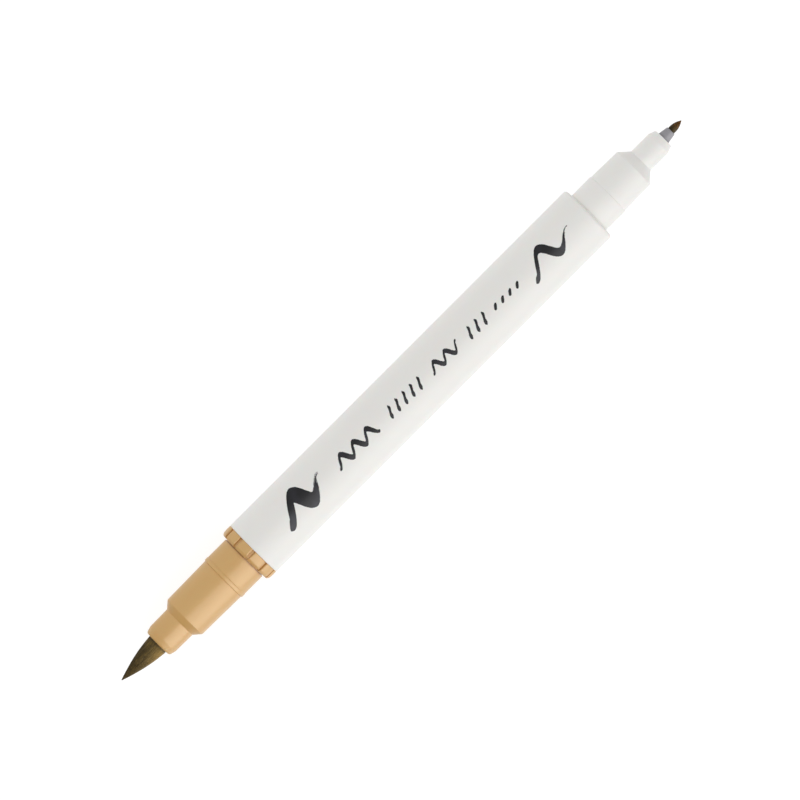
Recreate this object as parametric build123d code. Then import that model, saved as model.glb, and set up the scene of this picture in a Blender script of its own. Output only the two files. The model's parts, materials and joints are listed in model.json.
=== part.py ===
from build123d import *
from math import sqrt
import os

# Twin-tip calligraphy marker, lying along X: brush tip at -X, fine tip at +X, +Z up, millimetres.
# The origin is under the middle of the pen, on the surface that the barrel lies on.
# A station is a distance along the pen, measured from the tip of the brush.

# Whole pen
LENGTH = 143.7
BARREL_RADIUS = 5.9
BARREL_START = 33.8
BARREL_END = 119.9
BARREL_BORE = 5.0
BARREL_CORNER = 0.6
SEAM_CHAMFER = 0.1

# Ribs inside the barrel, which centre the ink reservoir and stop the fine section's plug
RIB_COUNT = 6
RIB_WIDTH = 0.7
RIB_TIP_RADIUS = 4.35
RIB_START = 45.0
RIB_END = 109.6

# Brush section: nose, cone, body, snap bead, land, collar and plug
NOSE_FACE = 9.38
NOSE_PROFILE = ((0, 2.75, 0.25), (0.3, 2.97), (1.3, 3.24, 0.8))  # depth behind the face, radius, rounding
NOSE_REAR_RADIUS = 3.29
CONE_START = 14.94
CONE_END = 16.28
CONE_ROUNDING = 0.2
BODY_FRONT_RADIUS = 4.46
BODY_REAR_RADIUS = 4.6
BEAD_START = 26.05
BEAD_END = 26.95
BEAD_RADIUS = 4.79
BEAD_SLOPE = 0.12
LAND_RADIUS = 4.72
RELIEF_START = 31.42
RELIEF_RADIUS = 4.5
COLLAR_START = 31.74
COLLAR_ROUNDING = 0.3
BRUSH_PLUG_END = 44.0
PLUG_LEAD_IN = 0.8
PLUG_BAND = 2.2
PLUG_RELIEF = 0.2
MOUTH_RADIUS = 2.15
MOUTH_DEPTH = 1.15
HOLDER_BORE = 2.6
HOLDER_SEAT = 16.6
GUIDE_BORE = 3.55

# Pads round the collar, with a narrow groove between each two
PAD_COUNT = 11
PAD_ANGLE = 27.3
PAD_PHASE = 77.8
PAD_START = 31.66
PAD_PROFILE = ((0, 5.5), (0.4, 5.84, 0.7), (1.2, BARREL_RADIUS))  # depth behind the start, radius, rounding
PAD_INNER_RADIUS = 4.9
PAD_CORNER = 0.3
GROOVE_DEPTH = 0.42

# Tuft: an ogive, split at two pivots into a root, a belly and a point
TUFT_MOUTH_RADIUS = 2.09
TUFT_BOW = 0.344
TUFT_TIP_RADIUS = 0.05
BELLY_PIVOT = 8.0
POINT_PIVOT = 4.4
SOCKET_GAP = 0.12
BELLY_RIM = 0.8
POINT_RIM = 0.6
ROOT_BEAD_START = 17.0
ROOT_BEAD_END = 17.8
ROOT_BEAD_RADIUS = 2.38

# Ink path at the brush end
RELAY_RADIUS = 1.3
RELAY_FRONT = 13.0
RELAY_DEPTH = 4.0
RELAY_CHAMFER = 0.3
SLIP = 0.02
HOLDER_END = 18.8
FLANGE_RADIUS = 3.5
GUIDE_HUB_RADIUS = 1.9
GUIDE_END = 32.0
GUIDE_DISC = 1.0
GUIDE_FINS = 4
FIN_WIDTH = 0.6
FIN_ROOT_RADIUS = 1.6
VENT_RADIUS = 0.5
CUT_SLACK = 0.1

# Reservoir
RESERVOIR_START = 44.6
RESERVOIR_END = 109.0
RESERVOIR_RADIUS = 4.0
FILM_THICKNESS = 0.15

# Fine section, nib holder and nib
FINE_PLUG_START = RIB_END
FINE_SEAT_RADIUS = 4.44
FINE_SEAT_END = 124.8
FINE_SEAT_STEP = 0.1
FINE_BODY_RADIUS = 4.32
FINE_BODY_END = 131.4
FINE_BODY_END_RADIUS = 4.21
FINE_BODY_ROUNDING = 0.2
FINE_CONE_END = 133.3
FINE_NOSE_RADIUS = 2.48
FINE_NOSE_ROUNDING = 0.1
FINE_CHAMFER_START = 137.8
FINE_FACE = 139.1
FINE_FACE_RADIUS = 1.97
FINE_CAVITY_RADIUS = 3.2
FINE_CAVITY_END = 129.8
NIB_HOLDER_RADIUS = 1.62
NIB_HOLDER_START = 127.0
NIB_HOLDER_COLLAR = 1.0
NIB_HOLDER_SHOULDER = 138.25
NIB_HOLDER_NECK = 1.25
NIB_HOLDER_END = 141.06
NIB_HOLDER_END_RADIUS = 0.94
NIB_HOLDER_ROUNDING = 0.15
AIR_FLATS = 3
AIR_FLAT_WIDTH = 1.2
AIR_FLAT_DEPTH = 0.15
AIR_FLAT_HEIGHT = 2.0
NIB_RADIUS = 0.73
NIB_START = 134.9
NIB_MIDDLE = (142.3, 0.66)
NIB_POINT = (143.56, 0.12)
FINE_RELAY_RADIUS = 1.0
FINE_RELAY_CHAMFER = 0.2

SAME_POINT = 1e-6


def turned(*corners):
    """Turn an outline about the pen's axis. A corner is (station, radius) or (station, radius, rounding)."""
    sketch = make_face(Polyline(*[corner[:2] for corner in corners], close=True))
    for corner in corners:
        if len(corner) == 3:
            vertex = sketch.vertices().sort_by_distance(corner[:2])[0]
            sketch = fillet(vertex, corner[2])
    return revolve(sketch, Axis.X)


def rod(start, end, radius, chamfer=0.0):
    """A round rod along the pen's axis, with its ends chamfered."""
    if not chamfer:
        return turned((start, 0), (start, radius), (end, radius), (end, 0))
    return turned(
        (start, 0),
        (start, radius - chamfer),
        (start + chamfer, radius),
        (end - chamfer, radius),
        (end, radius - chamfer),
        (end, 0),
    )


def tube(start, end, inner, outer):
    """A plain sleeve along the pen's axis."""
    return turned((start, inner), (start, outer), (end, outer), (end, inner))


def set_back(start, profile):
    """Corners of a profile given as depths behind its start."""
    return [(start + depth, *rest) for depth, *rest in profile]


def around(count, phase=0):
    """Turns about the pen's axis for repeated features."""
    return [Rot(phase + 360 * k / count, 0, 0) for k in range(count)]


def fins(start, end, inner, outer, width, count):
    """Radial walls that run along the pen."""
    middle = (start + end) / 2
    wall = Pos(middle, 0, (inner + outer) / 2) * Box(end - start, width, outer - inner)
    return [turn * wall for turn in around(count)]


def plug_outline(shoulder, end):
    """Outline of a press-in plug: two sealing bands with a relief between them, and a lead-in at its end."""
    way = 1 if end > shoulder else -1
    relief = BARREL_BORE - PLUG_RELIEF
    bands_end = end - way * PLUG_LEAD_IN
    return [
        (shoulder, BARREL_BORE),
        (shoulder + way * PLUG_BAND, BARREL_BORE),
        (shoulder + way * (PLUG_BAND + PLUG_RELIEF), relief),
        (bands_end - way * (PLUG_BAND + PLUG_RELIEF), relief),
        (bands_end - way * PLUG_BAND, BARREL_BORE),
        (bands_end, BARREL_BORE),
        (end, BARREL_BORE - PLUG_LEAD_IN / 2),
    ]


def barrel():
    """White moulded tube with reservoir ribs along its bore."""
    shell = turned(
        (BARREL_START, BARREL_BORE),
        (BARREL_START, BARREL_RADIUS - SEAM_CHAMFER),
        (BARREL_START + SEAM_CHAMFER, BARREL_RADIUS),
        (BARREL_END, BARREL_RADIUS, BARREL_CORNER),
        (BARREL_END, BARREL_BORE),
    )
    rooted = BARREL_BORE + (BARREL_RADIUS - BARREL_BORE) / 2
    return shell + fins(RIB_START, RIB_END, RIB_TIP_RADIUS, rooted, RIB_WIDTH, RIB_COUNT)


def collar_pads():
    """Pads with rounded edges, spread round the collar."""
    half = PAD_ANGLE / 2
    length = BARREL_START - PAD_START
    outer_arc = CenterArc((0, 0), BARREL_RADIUS, -half, PAD_ANGLE)
    inner_arc = CenterArc((0, 0), PAD_INNER_RADIUS, -half, PAD_ANGLE)
    sides = [Line(inner_arc @ end, outer_arc @ end) for end in (0, 1)]
    sketch = make_face(Curve() + [outer_arc, inner_arc, *sides])
    sketch = fillet(sketch.vertices().sort_by_distance((0, 0))[-2:], PAD_CORNER)
    envelope = turned(
        (0, 0),
        *PAD_PROFILE,
        (length - SEAM_CHAMFER, BARREL_RADIUS),
        (length, BARREL_RADIUS - SEAM_CHAMFER),
        (length, 0),
    )
    shaped = Pos(PAD_START, 0, 0) * (extrude(Plane.YZ * sketch, length) & envelope)
    return [turn * shaped for turn in around(PAD_COUNT, PAD_PHASE)]


def brush_section():
    """Tan moulded nose for the brush end, with the grooved collar and the plug behind it."""
    groove_floor = BARREL_RADIUS - GROOVE_DEPTH
    mouth_end = NOSE_FACE + MOUTH_DEPTH
    body = turned(
        (NOSE_FACE, MOUTH_RADIUS),
        *set_back(NOSE_FACE, NOSE_PROFILE),
        (CONE_START, NOSE_REAR_RADIUS),
        (CONE_END, BODY_FRONT_RADIUS, CONE_ROUNDING),
        (BEAD_START, BODY_REAR_RADIUS),
        (BEAD_START + BEAD_SLOPE, BEAD_RADIUS),
        (BEAD_END - BEAD_SLOPE, BEAD_RADIUS),
        (BEAD_END, LAND_RADIUS),
        (RELIEF_START, LAND_RADIUS),
        (RELIEF_START, RELIEF_RADIUS),
        (COLLAR_START, RELIEF_RADIUS),
        (COLLAR_START, groove_floor, COLLAR_ROUNDING),
        (BARREL_START, groove_floor),
        *plug_outline(BARREL_START, BRUSH_PLUG_END),
        (BRUSH_PLUG_END, GUIDE_BORE),
        (HOLDER_SEAT, GUIDE_BORE),
        (HOLDER_SEAT, HOLDER_BORE),
        (mouth_end, HOLDER_BORE),
        (mouth_end, MOUTH_RADIUS),
    )
    return body + collar_pads()


def tuft_radius(station):
    """Radius of the tuft at a station: a straight taper with an even bow."""
    share = station / NOSE_FACE
    taper = TUFT_TIP_RADIUS + (TUFT_MOUTH_RADIUS - TUFT_TIP_RADIUS) * share
    return taper + 4 * TUFT_BOW * share * (1 - share)


def flank(start, end):
    """The tuft's side between two stations, as one arc."""
    return ThreePointArc(*[(s, tuft_radius(s)) for s in (start, (start + end) / 2, end)])


def ball_arc(pivot):
    """Outline of the ball behind a pivot, as wide as the tuft there."""
    radius = tuft_radius(pivot)
    return TangentArc((pivot + radius, 0), (pivot, radius), tangent=(0, 1))


def socket_arc(pivot, rim):
    """Outline of the socket round a ball, which ends at its rim behind the pivot."""
    radius = tuft_radius(pivot) + SOCKET_GAP
    return TangentArc((pivot + radius, 0), (pivot + rim, sqrt(radius**2 - rim**2)), tangent=(0, 1))


def spun(*edges):
    """Turn a closed outline of edges, given in order, about the pen's axis. Gaps are closed with lines."""
    closed = []
    for edge, following in zip(edges, [*edges[1:], edges[0]]):
        closed.append(edge)
        if (edge @ 1 - following @ 0).length > SAME_POINT:
            closed.append(Line(edge @ 1, following @ 0))
    return revolve(make_face(Curve() + closed), Axis.X)


def backwards(edge):
    """The same arc, drawn from its end to its start."""
    return ThreePointArc(edge @ 1, edge @ 0.5, edge @ 0)


def tuft_point():
    """Front part of the tuft, with a ball behind it that turns in the belly."""
    axis_and_tip = Polyline((POINT_PIVOT, 0), (0, 0), (0, TUFT_TIP_RADIUS))
    return spun(axis_and_tip, flank(0, POINT_PIVOT), backwards(ball_arc(POINT_PIVOT)))


def tuft_belly():
    """Middle part of the tuft, with a socket for the point and a ball that turns in the root."""
    socket = socket_arc(POINT_PIVOT, POINT_RIM)
    side = flank(POINT_PIVOT + POINT_RIM, BELLY_PIVOT)
    return spun(socket, side, backwards(ball_arc(BELLY_PIVOT)))


def tuft_root():
    """Rear part of the tuft, fused into a bead at its end, with a hollow for the ink relay."""
    bore = RELAY_RADIUS + SLIP
    stem = Polyline(
        (NOSE_FACE, TUFT_MOUTH_RADIUS),
        (ROOT_BEAD_START, TUFT_MOUTH_RADIUS),
        (ROOT_BEAD_START, ROOT_BEAD_RADIUS),
        (ROOT_BEAD_END, ROOT_BEAD_RADIUS),
        (ROOT_BEAD_END, bore),
        (RELAY_FRONT, bore),
        (RELAY_FRONT, 0),
    )
    return spun(socket_arc(BELLY_PIVOT, BELLY_RIM), flank(BELLY_PIVOT + BELLY_RIM, NOSE_FACE), stem)


def tuft_holder():
    """Sleeve that grips the tuft's root and stops against the step in the nose's bore."""
    grip = TUFT_MOUTH_RADIUS + SLIP
    return turned(
        (NOSE_FACE + MOUTH_DEPTH, grip),
        (NOSE_FACE + MOUTH_DEPTH, HOLDER_BORE - SLIP),
        (HOLDER_SEAT, HOLDER_BORE - SLIP),
        (HOLDER_SEAT, FLANGE_RADIUS),
        (HOLDER_END, FLANGE_RADIUS),
        (HOLDER_END, ROOT_BEAD_RADIUS + SLIP),
        (ROOT_BEAD_START, ROOT_BEAD_RADIUS + SLIP),
        (ROOT_BEAD_START, grip),
    )


def brush_relay():
    """Porous fibre rod from the reservoir into the middle of the tuft."""
    return rod(RELAY_FRONT, RESERVOIR_START + RELAY_DEPTH, RELAY_RADIUS, RELAY_CHAMFER)


def relay_guide():
    """Finned guide that centres the relay and traps the tuft's bead in its holder."""
    bore = RELAY_RADIUS + SLIP
    spool = turned(
        (ROOT_BEAD_END, bore),
        (ROOT_BEAD_END, ROOT_BEAD_RADIUS),
        (HOLDER_END, ROOT_BEAD_RADIUS),
        (HOLDER_END, FLANGE_RADIUS),
        (HOLDER_END + GUIDE_DISC, FLANGE_RADIUS),
        (HOLDER_END + GUIDE_DISC, GUIDE_HUB_RADIUS),
        (GUIDE_END - GUIDE_DISC, GUIDE_HUB_RADIUS),
        (GUIDE_END - GUIDE_DISC, FLANGE_RADIUS),
        (GUIDE_END, FLANGE_RADIUS),
        (GUIDE_END, bore),
    )
    inset = GUIDE_DISC / 2
    reach = (HOLDER_END + inset, GUIDE_END - inset, FIN_ROOT_RADIUS, FLANGE_RADIUS)
    spool += fins(*reach, FIN_WIDTH, GUIDE_FINS)
    between_fins = 180 / GUIDE_FINS
    vent = Pos(0, 0, FLANGE_RADIUS) * rod(HOLDER_END - CUT_SLACK, GUIDE_END + CUT_SLACK, VENT_RADIUS)
    return spool - [turn * vent for turn in around(GUIDE_FINS, between_fins)]


def reservoir_core():
    """Polyester fibre rod that holds the ink, with a socket in each end for a relay."""
    brush_socket = rod(RESERVOIR_START, RESERVOIR_START + RELAY_DEPTH, RELAY_RADIUS)
    fine_socket = rod(RESERVOIR_END - RELAY_DEPTH, RESERVOIR_END, FINE_RELAY_RADIUS)
    return rod(RESERVOIR_START, RESERVOIR_END, RESERVOIR_RADIUS) - brush_socket - fine_socket


def reservoir_film():
    """Plastic film wrapped round the reservoir."""
    return tube(
        RESERVOIR_START, RESERVOIR_END, RESERVOIR_RADIUS + SLIP, RESERVOIR_RADIUS + SLIP + FILM_THICKNESS
    )


def fine_section():
    """White moulded nose for the fine end, with a plug that stops on the ends of the barrel's ribs."""
    mouth = NIB_HOLDER_NECK + SLIP
    seat = NIB_HOLDER_RADIUS + SLIP
    return turned(
        *plug_outline(BARREL_END, FINE_PLUG_START),
        (FINE_PLUG_START, FINE_CAVITY_RADIUS),
        (FINE_CAVITY_END, FINE_CAVITY_RADIUS),
        (FINE_BODY_END, seat),
        (NIB_HOLDER_SHOULDER, seat),
        (NIB_HOLDER_SHOULDER, mouth),
        (FINE_FACE, mouth),
        (FINE_FACE, FINE_FACE_RADIUS, FINE_NOSE_ROUNDING),
        (FINE_CHAMFER_START, FINE_NOSE_RADIUS, FINE_NOSE_ROUNDING),
        (FINE_CONE_END, FINE_NOSE_RADIUS),
        (FINE_BODY_END, FINE_BODY_END_RADIUS, FINE_BODY_ROUNDING),
        (FINE_SEAT_END + FINE_SEAT_STEP, FINE_BODY_RADIUS),
        (FINE_SEAT_END, FINE_SEAT_RADIUS),
        (BARREL_END, FINE_SEAT_RADIUS),
    )


def nib_holder():
    """Grey sleeve that grips the fine nib in front and its relay behind, with air flats along it."""
    relay_bore = FINE_RELAY_RADIUS + SLIP
    nib_bore = NIB_RADIUS + SLIP
    collar = FINE_CAVITY_RADIUS - SLIP
    collar_end = NIB_HOLDER_START + NIB_HOLDER_COLLAR
    sleeve = turned(
        (NIB_HOLDER_START, relay_bore),
        (NIB_HOLDER_START, collar),
        (collar_end, collar),
        (collar_end, NIB_HOLDER_RADIUS),
        (NIB_HOLDER_SHOULDER, NIB_HOLDER_RADIUS),
        (NIB_HOLDER_SHOULDER, NIB_HOLDER_NECK),
        (FINE_FACE, NIB_HOLDER_NECK),
        (NIB_HOLDER_END, NIB_HOLDER_END_RADIUS, NIB_HOLDER_ROUNDING),
        (NIB_HOLDER_END, nib_bore),
        (NIB_START, nib_bore),
        (NIB_START, relay_bore),
    )
    flat_length = NIB_HOLDER_SHOULDER - NIB_HOLDER_START + 2 * CUT_SLACK
    flat_middle = (NIB_HOLDER_SHOULDER + NIB_HOLDER_START) / 2
    flat_height = NIB_HOLDER_RADIUS - AIR_FLAT_DEPTH + AIR_FLAT_HEIGHT / 2
    flat = Pos(flat_middle, 0, flat_height) * Box(flat_length, AIR_FLAT_WIDTH, AIR_FLAT_HEIGHT)
    return sleeve - [turn * flat for turn in around(AIR_FLATS)]


def fine_nib():
    """Pointed fibre nib with a stem held in the nib holder."""
    tip = TangentArc((LENGTH, 0), NIB_POINT, tangent=(0, 1))
    side = ThreePointArc(NIB_POINT, NIB_MIDDLE, (NIB_HOLDER_END, NIB_RADIUS))
    stem = Polyline((NIB_HOLDER_END, NIB_RADIUS), (NIB_START, NIB_RADIUS), (NIB_START, 0))
    return spun(tip, side, stem)


def fine_relay():
    """Porous fibre rod from the reservoir to the back of the fine nib."""
    return rod(RESERVOIR_END - RELAY_DEPTH, NIB_START, FINE_RELAY_RADIUS, FINE_RELAY_CHAMFER)


PARTS = [
    barrel,
    brush_section,
    tuft_root,
    tuft_belly,
    tuft_point,
    tuft_holder,
    brush_relay,
    relay_guide,
    reservoir_core,
    reservoir_film,
    fine_section,
    nib_holder,
    fine_nib,
    fine_relay,
]


def main():
    os.makedirs("parts", exist_ok=True)
    place = Pos(-LENGTH / 2, 0, BARREL_RADIUS)
    for make in PARTS:
        export_step(place * make(), f"parts/{make.__name__}.step")


main()
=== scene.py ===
import json
from math import cos, pi, radians, sin, tan

import bmesh
import bpy
import numpy as np
from mathutils import Matrix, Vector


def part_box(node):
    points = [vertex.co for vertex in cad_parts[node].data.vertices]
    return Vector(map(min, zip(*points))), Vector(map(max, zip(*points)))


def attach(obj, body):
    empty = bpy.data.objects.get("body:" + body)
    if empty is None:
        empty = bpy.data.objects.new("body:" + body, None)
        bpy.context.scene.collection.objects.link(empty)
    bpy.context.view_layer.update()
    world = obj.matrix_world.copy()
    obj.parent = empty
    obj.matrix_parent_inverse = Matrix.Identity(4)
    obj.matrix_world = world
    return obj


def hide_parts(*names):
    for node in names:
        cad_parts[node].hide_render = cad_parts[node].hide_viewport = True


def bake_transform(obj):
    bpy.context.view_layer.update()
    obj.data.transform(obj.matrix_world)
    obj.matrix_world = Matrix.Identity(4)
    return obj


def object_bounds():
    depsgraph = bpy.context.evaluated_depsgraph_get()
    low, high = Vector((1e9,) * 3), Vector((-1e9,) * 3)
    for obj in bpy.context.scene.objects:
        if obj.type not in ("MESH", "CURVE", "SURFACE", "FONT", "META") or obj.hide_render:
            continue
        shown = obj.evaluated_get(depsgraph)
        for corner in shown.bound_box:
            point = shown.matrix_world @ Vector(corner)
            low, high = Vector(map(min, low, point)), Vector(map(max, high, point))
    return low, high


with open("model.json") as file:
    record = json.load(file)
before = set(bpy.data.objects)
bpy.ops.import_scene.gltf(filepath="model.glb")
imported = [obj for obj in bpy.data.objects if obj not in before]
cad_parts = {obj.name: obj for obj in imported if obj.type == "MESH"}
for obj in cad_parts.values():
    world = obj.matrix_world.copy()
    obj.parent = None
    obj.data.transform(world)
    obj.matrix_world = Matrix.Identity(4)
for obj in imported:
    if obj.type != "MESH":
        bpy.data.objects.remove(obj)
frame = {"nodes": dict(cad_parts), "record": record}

# A twin-tip calligraphy marker that lies along X, brush at -X. Lengths are in metres.
# A station is a distance in millimetres from the tip of the brush, as in the CAD model.

MM = 0.001
CAD_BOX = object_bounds()
TIP_X = CAD_BOX[0].x
BARREL_LOW, BARREL_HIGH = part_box("barrel")
AXIS_Z = (BARREL_LOW.z + BARREL_HIGH.z) / 2
BARREL_RADIUS = (BARREL_HIGH.z - BARREL_LOW.z) / 2
NODES = frame["nodes"]
RANDOM = np.random.default_rng(11)


def at(station):
    """X of a station given in millimetres from the brush's tip."""
    return TIP_X + station * MM


def smooth(low, high, value):
    """Smooth step from 0 at low to 1 at high, for numbers or arrays."""
    share = np.clip((value - low) / (high - low), 0, 1)
    return share * share * (3 - 2 * share)


def link(piece):
    bpy.context.scene.collection.objects.link(piece)
    return piece


# ---------------------------------------------------------------- camera and studio

LENS_MM = 400
SENSOR_MM = 36
CLIP_END = 5
VIEW_WIDTH = 0.14523
VIEW_MIDDLE = (-0.00013, 0.00023)
PICTURE_TILT = radians(45)
SOFTBOX_DISTANCE = 0.6
SURROUND = 1.04
LOW_SURROUND = 0.9
FLOOR_HALF = 3.0
FLOOR_GREY = 0.3
FLOOR_GLOW = 0.8


def camera():
    """Looks straight down at the pen, which runs from the lower left to the upper right."""
    data = bpy.data.cameras.new("camera")
    data.lens = LENS_MM
    data.sensor_width = SENSOR_MM
    data.clip_end = CLIP_END
    piece = link(bpy.data.objects.new("camera", data))
    height = AXIS_Z + VIEW_WIDTH * LENS_MM / SENSOR_MM
    piece.matrix_world = Matrix.Translation((*VIEW_MIDDLE, height)) @ Matrix.Rotation(-PICTURE_TILT, 4, "Z")
    bpy.context.scene.camera = piece


def softbox(name, low, high, width, radiance, gloss_only=False):
    """A rectangular light on the -Y side, from one angle to another in degrees from straight up."""
    middle, half = radians((low + high) / 2), radians((high - low) / 2)
    data = bpy.data.lights.new(name, "AREA")
    data.shape = "RECTANGLE"
    data.size = width
    data.size_y = 2 * SOFTBOX_DISTANCE * tan(half)
    data.energy = pi * radiance * data.size * data.size_y
    piece = link(bpy.data.objects.new(name, data))
    piece.location = (0, -SOFTBOX_DISTANCE * sin(middle), SOFTBOX_DISTANCE * cos(middle))
    piece.rotation_euler = (middle, 0, 0)
    piece.visible_camera = False
    piece.visible_diffuse = not gloss_only


def surround():
    """A white surround: brighter low down on the -Y side, dim past the pen's ends and far below it."""
    world = bpy.data.worlds.new("studio")
    world.use_nodes = True
    tree = world.node_tree
    split = tree.nodes.new("ShaderNodeSeparateXYZ")
    tree.links.new(tree.nodes.new("ShaderNodeTexCoord").outputs["Generated"], split.inputs[0])

    def maths(operation, *values):
        node = tree.nodes.new("ShaderNodeMath")
        node.operation = operation
        return joined(node, values)

    def ranged(*values):
        """A value mapped from one span to another: value, from low, from high, to low, to high."""
        return joined(tree.nodes.new("ShaderNodeMapRange"), values)

    def joined(node, values):
        for socket, value in zip(node.inputs, values):
            if isinstance(value, bpy.types.NodeSocket):
                tree.links.new(value, socket)
            else:
                socket.default_value = value
        return node.outputs[0]

    endways = ranged(maths("ABSOLUTE", split.outputs["X"]), 0.3, 0.9, 1, 0.2)
    beneath = ranged(split.outputs["Z"], -0.2, -0.65, 1, 0.8)
    low = ranged(split.outputs["Z"], 0.1, -0.1, 0, 1)
    lit_side = ranged(split.outputs["Y"], -0.3, -0.7, 0, 1)
    strength = maths("ADD", SURROUND, maths("MULTIPLY", maths("MULTIPLY", low, lit_side), LOW_SURROUND))
    background = tree.nodes["Background"]
    background.inputs["Color"].default_value = (1, 1, 1, 1)
    dimmed = maths("MULTIPLY", strength, maths("MULTIPLY", endways, beneath))
    tree.links.new(dimmed, background.inputs["Strength"])
    bpy.context.scene.world = world


def studio():
    """Soft light from the -Y side: a weak key light, and two panels that only gloss shows."""
    softbox("key_light", low=12, high=90, width=1.0, radiance=0.27)
    softbox("gloss_panel", low=8, high=92, width=0.7, radiance=1.9, gloss_only=True)
    softbox("gloss_core", low=40, high=88, width=0.7, radiance=1.0, gloss_only=True)
    surround()
    bpy.context.scene.view_settings.view_transform = "Standard"


def floor():
    """A plain white floor that the pen lies on."""
    mesh = bpy.data.meshes.new("floor")
    corners = [(x * FLOOR_HALF, y * FLOOR_HALF, 0) for x, y in ((-1, -1), (1, -1), (1, 1), (-1, 1))]
    mesh.from_pydata(corners, [], [(0, 1, 2, 3)])
    recipe = Recipe("floor_white", 3 * (FLOOR_GREY,), roughness=0.9)
    recipe.set(**{"Emission Color": (1, 1, 1, 1), "Emission Strength": FLOOR_GLOW})
    mesh.materials.append(recipe.material)
    piece = link(bpy.data.objects.new("floor", mesh))
    piece.visible_glossy = False


# ---------------------------------------------------------------- materials

# Painted shade in grooves and corners: how wide they may be in mm, rays traced to find them, and how much
# they darken
PAINTED_SHADE_REACH = 0.7
PAINTED_SHADE_SAMPLES = 8
PAINTED_SHADE_POWER = 1.5


def srgb(red, green, blue):
    """Linear colour from 0 to 255 screen values."""
    values = [v / 255 for v in (red, green, blue)]
    return tuple(v / 12.92 if v <= 0.04045 else ((v + 0.055) / 1.055) ** 2.4 for v in values)


class Recipe:
    """A material on one Principled shader, built up from procedural nodes in object space."""

    def __init__(self, name, colour, roughness):
        self.material = bpy.data.materials.new(name)
        self.material.use_nodes = True
        self.tree = self.material.node_tree
        self.shader = self.tree.nodes["Principled BSDF"]
        self.shader.inputs["Base Color"].default_value = (*colour, 1)
        self.shader.inputs["Roughness"].default_value = roughness
        self.place = self.add("ShaderNodeTexCoord").outputs["Object"]

    def set(self, **sockets):
        for name, value in sockets.items():
            self.shader.inputs[name].default_value = value
        return self

    def add(self, kind, inputs=(), **settings):
        node = self.tree.nodes.new(kind)
        for name, value in settings.items():
            setattr(node, name, value)
        for key, value in dict(inputs).items():
            self.join(value, node.inputs[key])
        return node

    def join(self, value, socket):
        if isinstance(value, bpy.types.NodeSocket):
            self.tree.links.new(value, socket)
        else:
            socket.default_value = value

    def stretched(self, stretch):
        """Object coordinates scaled by stretch, per metre."""
        return self.add("ShaderNodeVectorMath", {0: self.place, 1: stretch}, operation="MULTIPLY").outputs[0]

    def noise(self, feature_mm, detail=3.0, stretch=(1, 1, 1), rough=0.5):
        """Noise from 0 to 1 with features about feature_mm across, drawn out where stretch is under 1."""
        scale = 1 / (feature_mm * MM)
        place = self.stretched(tuple(scale * s for s in stretch))
        inputs = {"Vector": place, "Scale": 1.0, "Detail": detail, "Roughness": rough}
        return self.add("ShaderNodeTexNoise", inputs).outputs["Fac"]

    def along(self, low, high):
        """0 to 1 between two stations."""
        split = self.add("ShaderNodeSeparateXYZ", {0: self.place}).outputs["X"]
        return self.span(split, at(low), at(high), 0, 1)

    def across(self, low, high):
        """0 to 1 between two distances from the pen's axis along Y, in mm."""
        split = self.add("ShaderNodeSeparateXYZ", {0: self.place}).outputs["Y"]
        return self.span(split, low * MM, high * MM, 0, 1)

    def exposed(self, reach_mm):
        """1 on open faces, less in grooves and corners no wider than reach_mm."""
        inputs = {"Distance": reach_mm * MM}
        return self.add("ShaderNodeAmbientOcclusion", inputs, samples=PAINTED_SHADE_SAMPLES).outputs["AO"]

    def span(self, value, from_low, from_high, to_low, to_high):
        inputs = {0: value, 1: from_low, 2: from_high, 3: to_low, 4: to_high}
        return self.add("ShaderNodeMapRange", inputs).outputs[0]

    def maths(self, operation, a, b=0.0):
        return self.add("ShaderNodeMath", {0: a, 1: b}, operation=operation).outputs[0]

    def ramp(self, value, *stops):
        """Colours at places from 0 to 1, blended between."""
        node = self.add("ShaderNodeValToRGB", {0: value})
        elements = node.color_ramp.elements
        while len(elements) < len(stops):
            elements.new(1)
        for element, (place, colour) in zip(elements, stops):
            element.position = place
            element.color = (*colour, 1)
        return node.outputs["Color"]

    def mix(self, share, a, b):
        node = self.add("ShaderNodeMix", data_type="RGBA")
        for socket, value in zip((node.inputs[0], node.inputs[6], node.inputs[7]), (share, a, b)):
            self.join((*value, 1) if isinstance(value, tuple) else value, socket)
        return node.outputs[2]

    def colour(self, value):
        self.join(value, self.shader.inputs["Base Color"])
        return self

    def roughness(self, value, low, high):
        self.join(self.span(value, 0, 1, low, high), self.shader.inputs["Roughness"])
        return self

    def bump(self, *layers):
        """Bump from (height, depth in mm) layers."""
        normal = None
        for height, depth_mm in layers:
            inputs = {"Strength": 1.0, "Distance": depth_mm * MM, "Height": height}
            if normal is not None:
                inputs["Normal"] = normal
            normal = self.add("ShaderNodeBump", inputs).outputs["Normal"]
        self.join(normal, self.shader.inputs["Normal"])
        return self


def moulded(name, light, dark, roughness, haze=0.0):
    """Glossy moulded plastic: flow clouds, faint flecks, orange-peel skin, fine wear, and painted shade that
    darkens grooves and corners.
    """
    recipe = Recipe(name, light, roughness)
    clouds = recipe.noise(9, detail=4, stretch=(0.35, 1, 1))
    specks = recipe.noise(0.35, detail=2)
    tone = recipe.mix(recipe.span(clouds, 0.3, 0.7, 0, 1), light, dark)
    fleck = recipe.span(specks, 0.62, 0.75, 0, 0.12 + haze)
    tone = recipe.mix(fleck, tone, dark)
    # Painted shade: ambient occlusion darkens the colour in grooves and corners
    painted_groove_shade = recipe.span(recipe.exposed(PAINTED_SHADE_REACH), 0.45, 0.9, 0.75, 0)
    recipe.colour(recipe.mix(painted_groove_shade, tone, tuple(value**PAINTED_SHADE_POWER for value in dark)))
    wear = recipe.noise(0.5, detail=5, stretch=(0.4, 1, 1))
    recipe.roughness(wear, roughness - 0.03, roughness + 0.05)
    peel = recipe.noise(0.8, detail=2)
    recipe.bump((peel, 0.0008), (specks, 0.0003))
    return recipe


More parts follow.
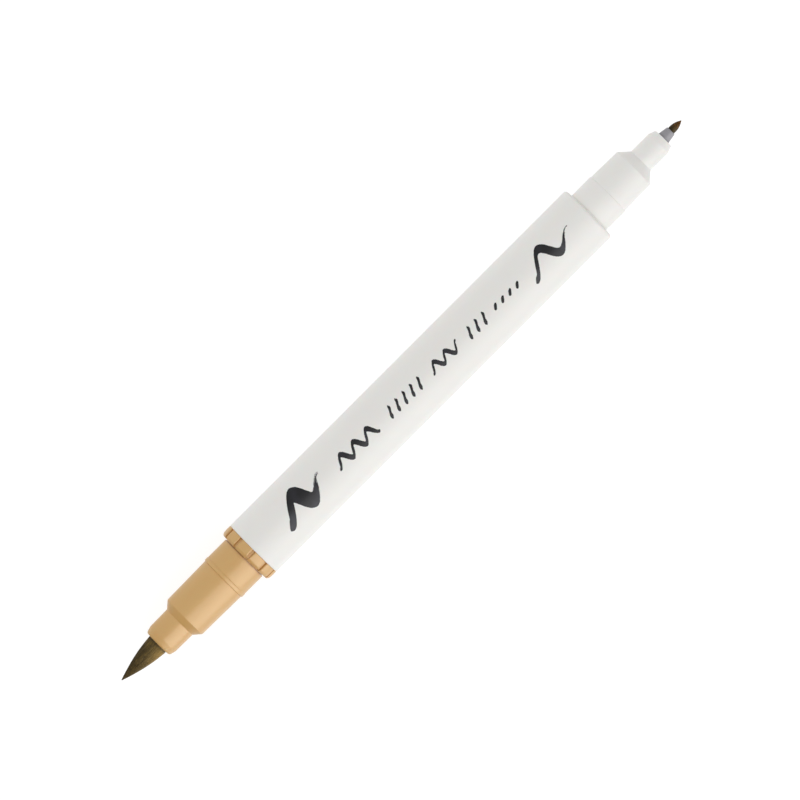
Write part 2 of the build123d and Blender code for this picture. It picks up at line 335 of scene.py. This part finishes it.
def white_plastic():
    recipe = moulded("white_plastic", (0.842, 0.83, 0.80), (0.826, 0.814, 0.782), 0.36)
    recipe.set(**{"Subsurface Weight": 0.12, "Subsurface Scale": 0.0006})
    return recipe.set(**{"Specular IOR Level": 0.2}).material


def tan_plastic():
    recipe = moulded("tan_plastic", srgb(208, 167, 104), srgb(203, 159, 95), 0.3, haze=0.1)
    recipe.set(**{"Subsurface Weight": 0.08, "Subsurface Scale": 0.0005})
    return recipe.set(**{"Specular IOR Level": 0.62, "Specular Tint": (1.0, 0.96, 0.92, 1.0)}).material


def grey_plastic():
    """Cool grey plastic with a cloudy, slightly grainy skin."""
    return moulded("grey_plastic", srgb(153, 151, 156), srgb(126, 124, 130), 0.42, haze=0.35).material


def natural_plastic():
    return moulded("natural_plastic", srgb(224, 222, 214), srgb(212, 209, 198), 0.38).material


def fibre(name, light, dark, strand_mm):
    """Bonded fibre rod soaked with ink: strands that run along the pen."""
    recipe = Recipe(name, light, 0.8)
    strands = recipe.noise(strand_mm, detail=4, stretch=(0.06, 1, 1), rough=0.65)
    blots = recipe.noise(2.5, detail=3)
    tone = recipe.ramp(strands, (0.3, dark), (0.7, light))
    recipe.colour(recipe.mix(recipe.span(blots, 0.35, 0.7, 0, 0.5), tone, dark))
    recipe.roughness(strands, 0.65, 0.9)
    recipe.bump((strands, 0.03))
    return recipe.material


def clear_film():
    recipe = Recipe("clear_film", (0.8, 0.8, 0.8), 0.15)
    wrinkles = recipe.noise(3, detail=3, stretch=(0.3, 1, 1))
    recipe.colour(recipe.ramp(wrinkles, (0.3, (0.82, 0.82, 0.80)), (0.7, (0.70, 0.69, 0.66))))
    recipe.roughness(wrinkles, 0.1, 0.25)
    recipe.bump((wrinkles, 0.05))
    return recipe.set(Alpha=0.4).material


def filament():
    """Nylon filaments wetted by brown ink and darker to the point, with painted shade at the mouth and on
    the +Y side, and painted light on the -Y side.
    """
    light, mid, dark = srgb(144, 116, 48), srgb(78, 61, 26), srgb(22, 17, 8)
    painted_light_tone, tip = srgb(176, 142, 84), srgb(40, 25, 12)
    recipe = Recipe("filament", mid, 0.5)
    streaks = recipe.noise(0.13, detail=4, stretch=(0.05, 1, 1), rough=0.6)
    clumps = recipe.noise(0.9, detail=2, stretch=(0.15, 1, 1))
    tone = recipe.ramp(streaks, (0.3, dark), (0.5, mid), (0.72, light))
    # Painted light and shade: 0 near the axis, rising to 1 towards the lit -Y side
    toward_lit_side = recipe.across(-0.1, -1.5)
    ink_wet_and_side_shade = recipe.maths("MULTIPLY", recipe.span(clumps, 0.34, 0.62, 0.6, 1), recipe.along(9.4, 7.2))
    # The ink-wet clumps darken more on the +Y side: real ink wetness plus painted shade
    ink_wet_and_side_shade = recipe.maths("MULTIPLY", ink_wet_and_side_shade, recipe.span(toward_lit_side, 0, 1, 0.85, 0.4))
    tone = recipe.mix(ink_wet_and_side_shade, tone, dark)
    # Painted light: a paler colour over the -Y side of the rear half
    painted_light_share = recipe.maths("MULTIPLY", toward_lit_side, recipe.span(recipe.along(4.6, 8.0), 0, 1, 0, 0.62))
    tone = recipe.mix(painted_light_share, tone, recipe.ramp(streaks, (0.3, light), (0.7, painted_light_tone)))
    tone = recipe.mix(recipe.span(recipe.along(0, 3.0), 0, 1, 0.5, 0), tone, tip)
    # Painted shade: a dark ring where the tuft enters the mouth
    recipe.colour(recipe.mix(recipe.span(recipe.along(8.6, 9.15), 0, 1, 0, 0.8), tone, dark))
    recipe.roughness(streaks, 0.42, 0.6)
    recipe.bump((streaks, 0.008))
    return recipe.set(**{"Specular IOR Level": 0.6, "Specular Tint": (1.0, 0.76, 0.38, 1.0)}).material


def nib_fibre():
    """Hard bonded fibre soaked dark, with orange-brown specks towards its point."""
    dark, brown, orange = srgb(24, 20, 8), srgb(62, 40, 12), srgb(126, 72, 16)
    recipe = Recipe("nib_fibre", dark, 0.5)
    specks = recipe.noise(0.16, detail=4, stretch=(0.35, 1, 1), rough=0.6)
    orange_specks = recipe.maths("MULTIPLY", recipe.along(141.3, 142.5), recipe.span(specks, 0.34, 0.7, 0, 1))
    recipe.colour(recipe.ramp(orange_specks, (0.05, dark), (0.4, brown), (0.8, orange)))
    recipe.roughness(specks, 0.4, 0.6)
    strands = recipe.noise(0.07, detail=3, stretch=(0.1, 1, 1))
    recipe.bump((strands, 0.01), (specks, 0.006))
    return recipe.set(**{"Specular IOR Level": 0.32, "Specular Tint": (1.0, 0.8, 0.45, 1.0)}).material


def print_ink():
    """Printed ink, near black with a soft grey wash in it, as thin brush ink dries."""
    black, grey = srgb(8, 8, 13), srgb(38, 38, 47)
    recipe = Recipe("print_ink", black, 0.36)
    wash = recipe.noise(2.6, detail=4, stretch=(1, 0.7, 0.7))
    grain = recipe.noise(0.12, detail=2)
    tone = recipe.ramp(wash, (0.45, black), (0.75, grey))
    recipe.colour(recipe.mix(recipe.span(grain, 0.55, 0.8, 0, 0.3), tone, srgb(40, 34, 30)))
    recipe.roughness(grain, 0.33, 0.42)
    recipe.bump((grain, 0.0015))
    return recipe.set(**{"Specular IOR Level": 0.3}).material


MATERIALS = {
    "white_plastic": white_plastic,
    "tan_plastic": tan_plastic,
    "grey_plastic": grey_plastic,
    "natural_plastic": natural_plastic,
    "filament": filament,
    "relay_fibre": lambda: fibre("relay_fibre", srgb(120, 88, 56), srgb(66, 44, 28), 0.12),
    "reservoir_fibre": lambda: fibre("reservoir_fibre", srgb(140, 106, 70), srgb(78, 54, 36), 0.2),
    "clear_film": clear_film,
    "nib_fibre": nib_fibre,
    "print_ink": print_ink,
}


def paint_nodes(made):
    """Give every CAD node the finished material of its slot."""
    for row in frame["record"]["subparts"]:
        slots = NODES[row["node"]].data.materials
        slots[0] = made[row["material_slot"]]


# ---------------------------------------------------------------- meshes

SHARP_EDGE = radians(60)


def around_axis(stations, radii, angles):
    """Points in metres at stations and radii in mm, and at angles about the pen's axis from straight up."""
    x = at(stations) + 0 * angles
    y = radii * MM * np.sin(angles)
    z = AXIS_Z + radii * MM * np.cos(angles)
    return np.stack([x, y, z], axis=-1)


class Shell:
    """Points in metres and faces of closed skins, gathered into one mesh."""

    def __init__(self):
        self.points = []
        self.faces = []
        self.count = 0

    def add(self, points, faces):
        """Points as an array, and faces as lists of numbers into it."""
        self.faces += [[self.count + number for number in face] for face in faces]
        self.points.append(points)
        self.count += len(points)

    def skin(self, rings):
        """A closed skin over rings x points x 3, with a fan over its first and last ring."""
        count, size = rings.shape[:2]
        numbers = np.arange(count * size).reshape(count, size)
        ahead = np.roll(numbers, -1, axis=1)
        quads = np.stack([numbers[:-1], numbers[1:], ahead[1:], ahead[:-1]], axis=-1).reshape(-1, 4)
        ends = [rings[0].mean(axis=0), rings[-1].mean(axis=0)]
        first = [[count * size, a, b] for a, b in zip(numbers[0], ahead[0])]
        last = [[count * size + 1, b, a] for a, b in zip(numbers[-1], ahead[-1])]
        self.add(np.concatenate([rings.reshape(-1, 3), ends]), quads.tolist() + first + last)

    def piece(self, name, slot):
        """The mesh as a piece with its slot's material, faces turned outward and sharp edges kept."""
        mesh = bpy.data.meshes.new(name)
        mesh.from_pydata(np.concatenate(self.points).tolist(), [], self.faces)
        work = bmesh.new()
        work.from_mesh(mesh)
        bmesh.ops.recalc_face_normals(work, faces=work.faces)
        work.to_mesh(mesh)
        work.free()
        mesh.materials.append(made[slot])
        mesh.shade_smooth()
        mesh.set_sharp_from_angle(angle=SHARP_EDGE)
        return link(bpy.data.objects.new(name, mesh))


# ---------------------------------------------------------------- tuft

# Stations and radii of the tuft in mm, as in the CAD model
MOUTH = 9.38
MOUTH_RADIUS = 2.09
TUFT_BOW = 0.344
TUFT_TIP_RADIUS = 0.05
BEAD = (17.0, 17.8)
BEAD_RADIUS = 2.38
RELAY_HOLLOW = (13.0, 1.32)

# Station where the tuft's two skins meet
TUFT_CUT = 6.2

# Filaments, lengths in mm
FILAMENTS = 116
POINTS_PER_FILAMENT = 6
RING_STEP = 0.1
FILAMENT_DEPTH = 0.045
CLUMP_DEPTH = 0.05
LOOSE_FILAMENTS = 54
LOOSE_RADIUS = 0.038
LOOSE_SIDES = 6


def tuft_radius(station):
    """Radius of the tuft in mm: a straight taper with an even bow."""
    share = np.minimum(station / MOUTH, 1)
    return TUFT_TIP_RADIUS + (MOUTH_RADIUS - TUFT_TIP_RADIUS) * share + 4 * TUFT_BOW * share * (1 - share)


class Bundle:
    """The tuft's surface: filaments side by side that wander, stand proud or sink, and gather in clumps."""

    def __init__(self):
        numbers = np.arange(FILAMENTS * POINTS_PER_FILAMENT)
        self.angles = numbers * 2 * pi / len(numbers)
        self.filament = numbers // POINTS_PER_FILAMENT
        across = (np.arange(POINTS_PER_FILAMENT) + 0.5) / POINTS_PER_FILAMENT * 2 - 1
        self.crown = np.tile(np.sqrt(1 - across**2), FILAMENTS)
        self.phases = RANDOM.uniform(0, 2 * pi, 12)
        self.start = RANDOM.uniform(0, 2 * pi, FILAMENTS)
        self.pitch = RANDOM.uniform(0.5, 1.6, FILAMENTS)

    def wander(self, station):
        """How far each point has turned about the axis."""
        a, p = self.angles, self.phases
        slow = 0.030 * np.sin(3 * a + 0.7 * station + p[0]) + 0.018 * np.sin(7 * a - 1.1 * station + p[1])
        return slow + 0.010 * np.sin(19 * a + 1.9 * station + p[2])

    def radius(self, station):
        """Radius of each point in mm, no more than the tuft's."""
        a, p = self.angles, self.phases
        free = smooth(0, 3.0, station) * (1 - 0.75 * smooth(MOUTH - 0.3, MOUTH + 0.8, station))
        proud = 0.5 + 0.5 * np.sin(self.pitch * station + self.start)
        painted_groove_shade = (1 - self.crown) * FILAMENT_DEPTH
        sunk = (1 - proud[self.filament]) * 0.6 * FILAMENT_DEPTH
        rows = [np.sin(n * a + w * station + q) for n, w, q in zip((9, 14, 22), (0.5, -0.8, 1.1), p[3:6])]
        clump = CLUMP_DEPTH * np.clip(sum(rows) / 3 + 0.25, 0, 1)
        relief = (0.25 + 0.75 * free) * (painted_groove_shade + sunk) * min(1, 0.35 + station / 4)
        return tuft_radius(station) - relief - free * clump

    def ring(self, station):
        return around_axis(station, self.radius(station), self.angles + self.wander(station))

    def round_ring(self, station, radius):
        return around_axis(station, radius + 0 * self.angles, self.angles)


def loose_paths():
    """Stations, radii and angles of single filaments that lie on the tuft and cross their neighbours."""
    paths = []
    for number in range(LOOSE_FILAMENTS):
        tip = RANDOM.uniform(0.9, 5.4)
        stations = np.append(np.arange(MOUTH + 0.2, tip, -0.2), tip)
        stations = np.sort(np.append(stations[abs(stations - TUFT_CUT) > 0.04], TUFT_CUT))[::-1]
        rise = smooth(0, 0.7, MOUTH + 0.2 - stations)
        sink = 1 - smooth(0.6, 0, stations - tip)
        lift = RANDOM.uniform(-0.012, 0.012) - 0.07 * (1 - rise) - 0.05 * (1 - sink)
        drift, rate, phase = RANDOM.uniform(-0.05, 0.05), RANDOM.uniform(0.5, 1.1), RANDOM.uniform(0, 2 * pi)
        around = 2 * pi * number / LOOSE_FILAMENTS + RANDOM.uniform(-0.05, 0.05)
        angles = around + drift * (MOUTH - stations) + 0.03 * np.sin(rate * stations + phase)
        paths.append((stations, tuft_radius(stations) + lift - LOOSE_RADIUS, angles))
    return paths


def loose_filament(shell, stations, radii, angles):
    """A thin tapered tube along a centre line, from its thick end to its tip."""
    middle = around_axis(stations, radii, angles)
    out = around_axis(stations, radii + 1, angles) - middle
    side = np.stack([0 * angles, np.cos(angles) * MM, -np.sin(angles) * MM], axis=-1)
    reach = LOOSE_RADIUS * (0.35 + 0.65 * smooth(0, 4.5, stations))
    turns = np.arange(LOOSE_SIDES) * 2 * pi / LOOSE_SIDES
    spokes = np.cos(turns)[None, :, None] * out[:, None] + np.sin(turns)[None, :, None] * side[:, None]
    shell.skin(middle[:, None] + reach[:, None, None] * spokes)


def tuft():
    """Two skins of filaments that meet inside the belly."""
    bundle = Bundle()
    paths = loose_paths()
    front, rear = Shell(), Shell()
    front_stations = np.append(np.arange(TUFT_CUT, 0, -RING_STEP), [0.03, 0.0])
    front.skin(np.stack([bundle.ring(s) for s in front_stations]))
    rear_rings = [bundle.ring(s) for s in np.arange(TUFT_CUT, MOUTH + 1.2, RING_STEP)]
    rear_rings += [bundle.round_ring(s, MOUTH_RADIUS) for s in (MOUTH + 1.6, BEAD[0])]
    rear_rings += [bundle.round_ring(s, BEAD_RADIUS) for s in BEAD]
    rear_rings += [bundle.round_ring(s, RELAY_HOLLOW[1]) for s in (BEAD[1], RELAY_HOLLOW[0])]
    rear.skin(np.stack(rear_rings))
    for stations, radii, angles in paths:
        for shell, kept in ((front, stations <= TUFT_CUT), (rear, stations >= TUFT_CUT)):
            loose_filament(shell, stations[kept], radii[kept], angles[kept])
    point = front.piece("tuft_front", "filament")
    root = rear.piece("tuft_rear", "filament")
    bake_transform(point)
    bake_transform(root)
    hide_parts("tuft_point")
    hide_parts("tuft_root", "tuft_belly")


# ---------------------------------------------------------------- printed marks

NIB_ANGLE = radians(52)
NIB_FLATNESS = 0.42
PRINT_CELL = 0.07
PRINT_RISE = 0.02
PRINT_SINK = 0.03
PRINT_MARGIN = 2.0
LEAST_SHARE = 0.04
HAIR_RATES = (19, 31, 47)
FEATHER_DEPTH = 0.012
FEATHER_RATES = ((5.1, 8.3), (13.7, -6.1), (-9.4, 19.8), (27.1, 11.3))

# Waves of the drill in mm: start, end, middle, height, periods, and the nib's reach
DRILL_WAVES = ((55.3, 65.2, -0.1, 1.0, 3, 0.5), (79.4, 86.4, 0, 0.85, 2.5, 0.42))
# Rows of slanted strokes in mm: start, count, height, and the nib's reach
DRILL_SLANTS = ((69.0, 5, 1.0, 0.46), (89.3, 3, 1.0, 0.46), (95.9, 4, 0.2, 0.52))
SLANT_SPACING = 1.85


def wave(start, end, middle, height, periods, fade=0.0, lean=0.0):
    """A wave along the pen in mm: rows of station and distance across."""
    share = np.linspace(0, 1, 60 * int(periods + 1))
    across = -height * np.cos(2 * pi * periods * share) * (1 - fade * share)
    return np.column_stack([start + (end - start) * share + lean * across, middle + across])


def slant(station, middle, height, lean=0.3):
    """A short leaning stroke with a slight bend."""
    share = np.linspace(-1, 1, 24)
    bend = 0.12 * np.sin(pi * share)
    return np.column_stack([station + lean * height * share + bend, middle + height * share])


def swell(path, reach, start, end, lift=0.12):
    """Reach of the nib along a path: pressed down from a share at the start, lifted to one at the end."""
    share = np.linspace(0, 1, len(path))
    press = start + (1 - start) * smooth(0, lift, share)
    return reach * press * (end + (1 - end) * (1 - smooth(1 - 2.5 * lift, 1, share)))


def ink(grid, path, reach, dryness=0.0):
    """How far inside the stroke of a slanted, flat nib each grid point lies, with dry hairs near its end."""
    turn = np.array([[cos(NIB_ANGLE), -sin(NIB_ANGLE)], [sin(NIB_ANGLE), cos(NIB_ANGLE)]])
    across, along = np.moveaxis((grid[..., None, :] - path) @ turn, -1, 0)
    inside = reach - (across**4 + (along / NIB_FLATNESS) ** 4) ** 0.25
    nearest = inside.argmax(axis=-1)
    side = np.take_along_axis(across, nearest[..., None], axis=-1)[..., 0]
    phases = RANDOM.uniform(0, 2 * pi, len(HAIR_RATES))
    hairs = sum(np.sin(rate * side + phase) for rate, phase in zip(HAIR_RATES, phases)) / len(HAIR_RATES)
    lifted = smooth(0.62, 1, nearest / len(path))
    return inside.max(axis=-1) - dryness * lifted * smooth(0.05, 0.6, hairs)


def feathering(grid):
    """Small unevenness of an inked edge, in mm."""
    along, across = np.moveaxis(grid, -1, 0)
    phases = RANDOM.uniform(0, 2 * pi, len(FEATHER_RATES))
    waves = (np.sin(a * along + b * across + phase) for (a, b), phase in zip(FEATHER_RATES, phases))
    return FEATHER_DEPTH * sum(waves)


def print_outline(strokes):
    """Marching squares over the strokes: points in mm, and the polygons that fill the outline."""
    reached = np.concatenate([stroke[0] for stroke in strokes])
    low, high = reached.min(axis=0) - PRINT_MARGIN, reached.max(axis=0) + PRINT_MARGIN
    stations, places = (np.arange(a, b, PRINT_CELL) for a, b in zip(low, high))
    grid = np.stack(np.meshgrid(stations, places, indexing="ij"), axis=-1)
    field = np.max([ink(grid, *stroke) for stroke in strokes], axis=0) + feathering(grid)
    points, numbers, polygons = [], {}, []

    def number(key, place):
        if key not in numbers:
            numbers[key] = len(points)
            points.append(place)
        return numbers[key]

    def crossing(a, b):
        a, b = sorted((a, b))
        share = np.clip(field[a] / (field[a] - field[b]), LEAST_SHARE, 1 - LEAST_SHARE)
        return number((a, b), grid[a] + share * (grid[b] - grid[a]))

    inside = field > 0
    touched = inside[:-1, :-1] | inside[1:, :-1] | inside[1:, 1:] | inside[:-1, 1:]
    for i, j in np.argwhere(touched).tolist():
        corners = [(i, j), (i + 1, j), (i + 1, j + 1), (i, j + 1)]
        polygon = []
        for here, ahead in zip(corners, corners[1:] + corners[:1]):
            if inside[here]:
                polygon.append(number(here, grid[here]))
            if inside[here] != inside[ahead]:
                polygon.append(crossing(here, ahead))
        polygons.append(polygon)
    return np.array(points), polygons


def stamp(name, groups):
    """Ink standing on the barrel: each group of strokes is a thin closed plate, curved round it."""
    shell = Shell()
    for strokes in groups:
        points, polygons = print_outline(strokes)
        outline = boundary(polygons)
        count = len(points)
        angles = points[:, 1] / (BARREL_RADIUS / MM)
        top, base = (
            around_axis(points[:, 0], radius + 0 * angles, angles)
            for radius in (BARREL_RADIUS / MM + PRINT_RISE, BARREL_RADIUS / MM - PRINT_SINK)
        )
        faces = polygons + [[number + count for number in reversed(face)] for face in polygons]
        faces += [[b, a, a + count, b + count] for a, b in outline]
        shell.add(np.concatenate([top, base]), faces)
    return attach(shell.piece(name, "print_ink"), "pen")


def boundary(polygons):
    """Edges that only one polygon has, in its direction."""
    edges = [pair for face in polygons for pair in zip(face, face[1:] + face[:1])]
    known = set(edges)
    return [(a, b) for a, b in edges if (b, a) not in known]


def prints():
    """A bold brush wave, a line of pen drills and a thin wave, where the barrel carries its marks."""
    bold = wave(42.2, 51.6, 0.05, 2.15, 1.5, fade=0.35, lean=0.12)
    stamp("bold_wave_print", [[(bold, swell(bold, 1.45, 0.8, 0.2), 1.2)]])
    thin = wave(104.9, 115.2, 0.1, 2.2, 1.5, fade=0.5, lean=0.12)
    stamp("thin_wave_print", [[(thin, swell(thin, 0.8, 0.85, 0.15), 0.35)]])
    groups = []
    for *shape, reach in DRILL_WAVES:
        path = wave(*shape)
        groups.append([(path, swell(path, reach, 0.7, 0.6, lift=0.06))])
    for start, count, height, reach in DRILL_SLANTS:
        paths = [slant(start + SLANT_SPACING * k, 0, height) for k in range(count)]
        groups.append([(path, swell(path, reach, 0.8, 0.45)) for path in paths])
    stamp("drill_print", groups)


# ---------------------------------------------------------------- making the object

camera()
studio()
floor()
made = {name: make() for name, make in MATERIALS.items()}
paint_nodes(made)
tuft()
prints()
